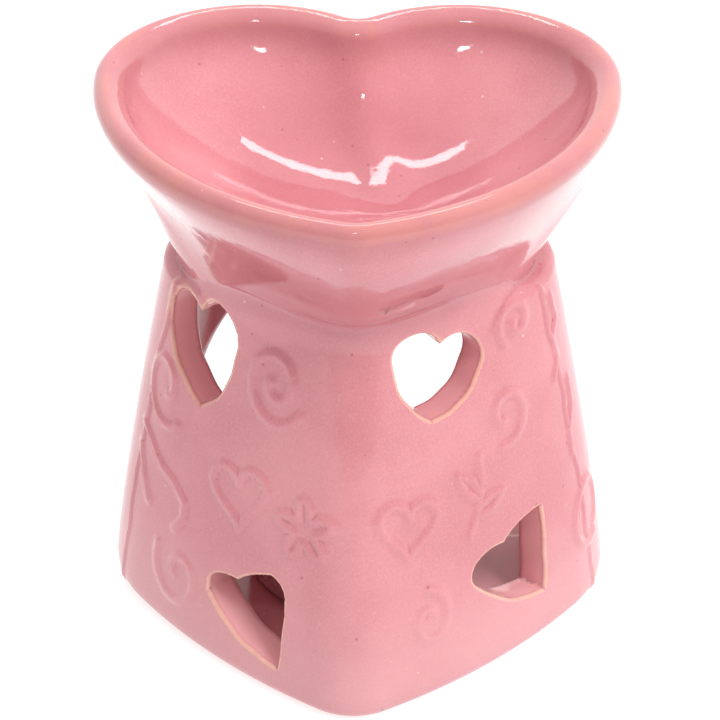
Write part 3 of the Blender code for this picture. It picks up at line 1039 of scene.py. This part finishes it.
def build_cup():
    """Pressed foil cup: fluted wall, rounded foot, and a rim rolled outwards."""
    centre, bottom, top = in_millimetres(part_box("tealight_cup"))
    height = top - bottom
    base_r = CUP_R - CUP_TAPER
    # Radius, height and share of the full flutes, from the middle of the base round to the inside
    rows = [(0.3 * CUP_R, 0.0, 0.0), (0.7 * CUP_R, 0.0, 0.0), (base_r - 1.2, 0.0, 0.0)]
    for share in np.arange(1, 6) / 5:
        angle = math.pi / 2 * share
        radius = base_r - 0.1 - CUP_FOOT_R * (1 - math.sin(angle))
        rows.append((radius, CUP_FOOT_R * (1 - math.cos(angle)), 0.35 * share))
    for k in range(1, 7):
        share = k / 7
        radius = CUP_R - 0.1 - CUP_TAPER * (1 - share)
        rows.append((radius, CUP_FOOT_R + (height - 1.9) * share, 1.0 if k < 6 else 0.6))
    rows.append((CUP_R - 0.1, height - 0.9, 0.0))
    for k in range(9):
        angle = -math.pi / 2 + 1.3 * math.pi * k / 8
        radius = CUP_R - 0.05 + (CUP_BEAD_R - 0.02) * math.cos(angle)
        rows.append((radius, height - CUP_BEAD_R * (1 - math.sin(angle)), 0.0))
    for k in range(7):
        share = 1 - k / 7
        radius = CUP_R - CUP_WALL - CUP_TAPER * (1 - share)
        rows.append((radius, 1.1 + (height - 2.1) * share, 0.9 if 1 < k < 6 else 0.0))
    for radius in (base_r - CUP_WALL - 1.2, 0.5 * CUP_R, 0.2 * CUP_R):
        rows.append((radius, CUP_WALL, 0.0))
    loops = [ring(centre, radius, bottom + z, CUP_AROUND, FLUTE_DEPTH * flute) for radius, z, flute in rows]
    return turned_object("foil_cup", loops)


def build_wax():
    """Poured wax with a raised edge where it wetted the cup and a dimple round the wick."""
    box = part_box("candle_wax")
    centre, bottom, top = in_millimetres(box)
    r = (box[1][0] - box[0][0]) / 2 / MM
    rows = [(0.35 * r, bottom), (0.7 * r, bottom), (r - 0.8, bottom), (r - 0.5, bottom + 0.4)]
    for share in np.arange(1, 7) / 6:
        rows.append((r - 0.4 + 0.3 * share, bottom + 0.4 + (top - bottom - 0.6) * share))
    for k in range(1, WAX_RINGS + 1):
        share = 1 - k / (WAX_RINGS + 0.5)
        climb = MENISCUS_HEIGHT * math.exp(-(1 - share) * r / MENISCUS_WIDTH)
        dimple = DIMPLE_DEPTH * math.exp(-((share * r / DIMPLE_WIDTH) ** 2))
        rows.append(((r - 0.2) * share, top - MENISCUS_HEIGHT + climb - dimple))
    return turned_object("poured_wax", [ring(centre, radius, z, WAX_AROUND) for radius, z in rows])


def build_wick():
    """Three plied strands, waxed together and drawn in at the tip."""
    (x, y), bottom, top = in_millimetres(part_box("candle_wick"))
    points, faces = [], []
    for ply in range(STRANDS):
        first = len(points)
        for i in range(STRAND_STEPS + 1):
            share = i / STRAND_STEPS
            z = bottom + 0.1 + (top - bottom - 0.3) * share
            turn = 2 * math.pi * ((z - bottom) / STRAND_PITCH + ply / STRANDS)
            off = STRAND_OFF * (1 - 0.35 * share**6)
            middle = x + off * math.cos(turn), y + off * math.sin(turn)
            points += ring(middle, STRAND_R * (1 - 0.45 * share**12), z, STRAND_AROUND)
        last = first + STRAND_STEPS * STRAND_AROUND
        faces += tube_faces(first, STRAND_STEPS, STRAND_AROUND)
        faces.append(tuple(range(first + STRAND_AROUND - 1, first - 1, -1)))
        faces.append(tuple(range(last, last + STRAND_AROUND)))
    return smooth_object("plied_wick", points, faces)


for piece, node, slot, material in (
    (build_cup(), "tealight_cup", "aluminium_foil", aluminium()),
    (build_wax(), "candle_wax", "paraffin_wax", wax()),
    (build_wick(), "candle_wick", "waxed_cotton", cotton()),
):
    piece.data.materials.append(material)
    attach(piece, "tealight")
    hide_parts(node)
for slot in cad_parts["wick_tab"].material_slots:
    slot.material = tinplate()


# ---- Studio ---------------------------------------------------------------------------------------
FLOOR_HALF = 3.0


def build_floor():
    """A pale card that the burner stands on."""
    corners = [(-FLOOR_HALF, -FLOOR_HALF, 0), (FLOOR_HALF, -FLOOR_HALF, 0)]
    corners += [(FLOOR_HALF, FLOOR_HALF, 0), (-FLOOR_HALF, FLOOR_HALF, 0)]
    mesh = bpy.data.meshes.new("floor")
    mesh.from_pydata(corners, [], [(0, 1, 2, 3)])
    card = Look("floor_card", {
        "Roughness": 0.7,
        "Emission Color": (*grey(1.0), 1.0),
        "Emission Strength": 0.66,
    })
    tone = card.ramp(card.noise(0.02, 2.0), 0.3, 0.7)
    mesh.materials.append(card.finish(card.mix(tone, grey(0.42), grey(0.45))))
    return add_object("floor", mesh)


def build_world():
    """A white room, dim towards the camera, brighter to the back and above, with a lit horizon."""
    world = bpy.data.worlds.new("studio")
    world.use_nodes = True
    tree = world.node_tree
    direction = add_node(tree, "ShaderNodeTexCoord").outputs["Generated"]
    towards_back = {0: direction, 1: (0.12, 0.85, 0.45)}
    back = add_node(tree, "ShaderNodeVectorMath", towards_back, operation="DOT_PRODUCT")
    up = add_node(tree, "ShaderNodeSeparateXYZ", {0: direction})
    depth = add_ramp(tree, back.outputs["Value"], -0.7, 0.75, 0.38, 1.20)
    horizon = add_ramp(tree, up.outputs["Z"], 0.06, 0.26, 0.6, 0.0)
    brightest = add_node(tree, "ShaderNodeMath", {0: depth, 1: horizon}, operation="MAXIMUM")
    background = tree.nodes["Background"]
    background.inputs["Color"].default_value = (*grey(1.0), 1.0)
    tree.links.new(brightest.outputs[0], background.inputs["Strength"])
    return world


def soft_light(name, place, target, size, power):
    """A rectangle of light, in watts, turned towards a target."""
    light = bpy.data.lights.new(name, "AREA")
    light.shape = "RECTANGLE"
    light.size, light.size_y = size
    light.energy = power
    obj = add_object(name, light)
    obj.location = place
    obj.rotation_euler = (Vector(target) - Vector(place)).to_track_quat("-Z", "Y").to_euler()
    return obj


floor = build_floor()
bpy.context.scene.world = build_world()
bpy.context.scene.view_settings.view_transform = "Standard"

soft_light("far_strip", (0.0, 0.45, 0.88), (0, 0, 0.075), (0.66, 0.13), 2.4)
soft_light("glint", (-0.02, -0.64, 0.80), (0, 0, 0.08), (0.10, 0.05), 0.6)
# The glaze mirrors the strip and the glint, but not the key light
key = soft_light("key", (0.50, -0.42, 0.86), (0, 0, 0.05), (0.4, 0.4), 6.6)
key.visible_glossy = False

CAMERA_TARGET = Vector((0.0001, 0.0112, 0.0388))
CAMERA_ELEVATION, CAMERA_AZIMUTH, CAMERA_DISTANCE = math.radians(32.5), math.radians(1.7), 0.430
camera = bpy.data.cameras.new("camera")
camera.lens, camera.sensor_width = 132.9, 36
camera.clip_start = 0.01
eye = add_object("camera", camera)
away = Vector((
    math.sin(CAMERA_AZIMUTH) * math.cos(CAMERA_ELEVATION),
    -math.cos(CAMERA_AZIMUTH) * math.cos(CAMERA_ELEVATION),
    math.sin(CAMERA_ELEVATION),
))
eye.location = CAMERA_TARGET + CAMERA_DISTANCE * away
eye.rotation_euler = (-away).to_track_quat("-Z", "Y").to_euler()
bpy.context.scene.camera = eye
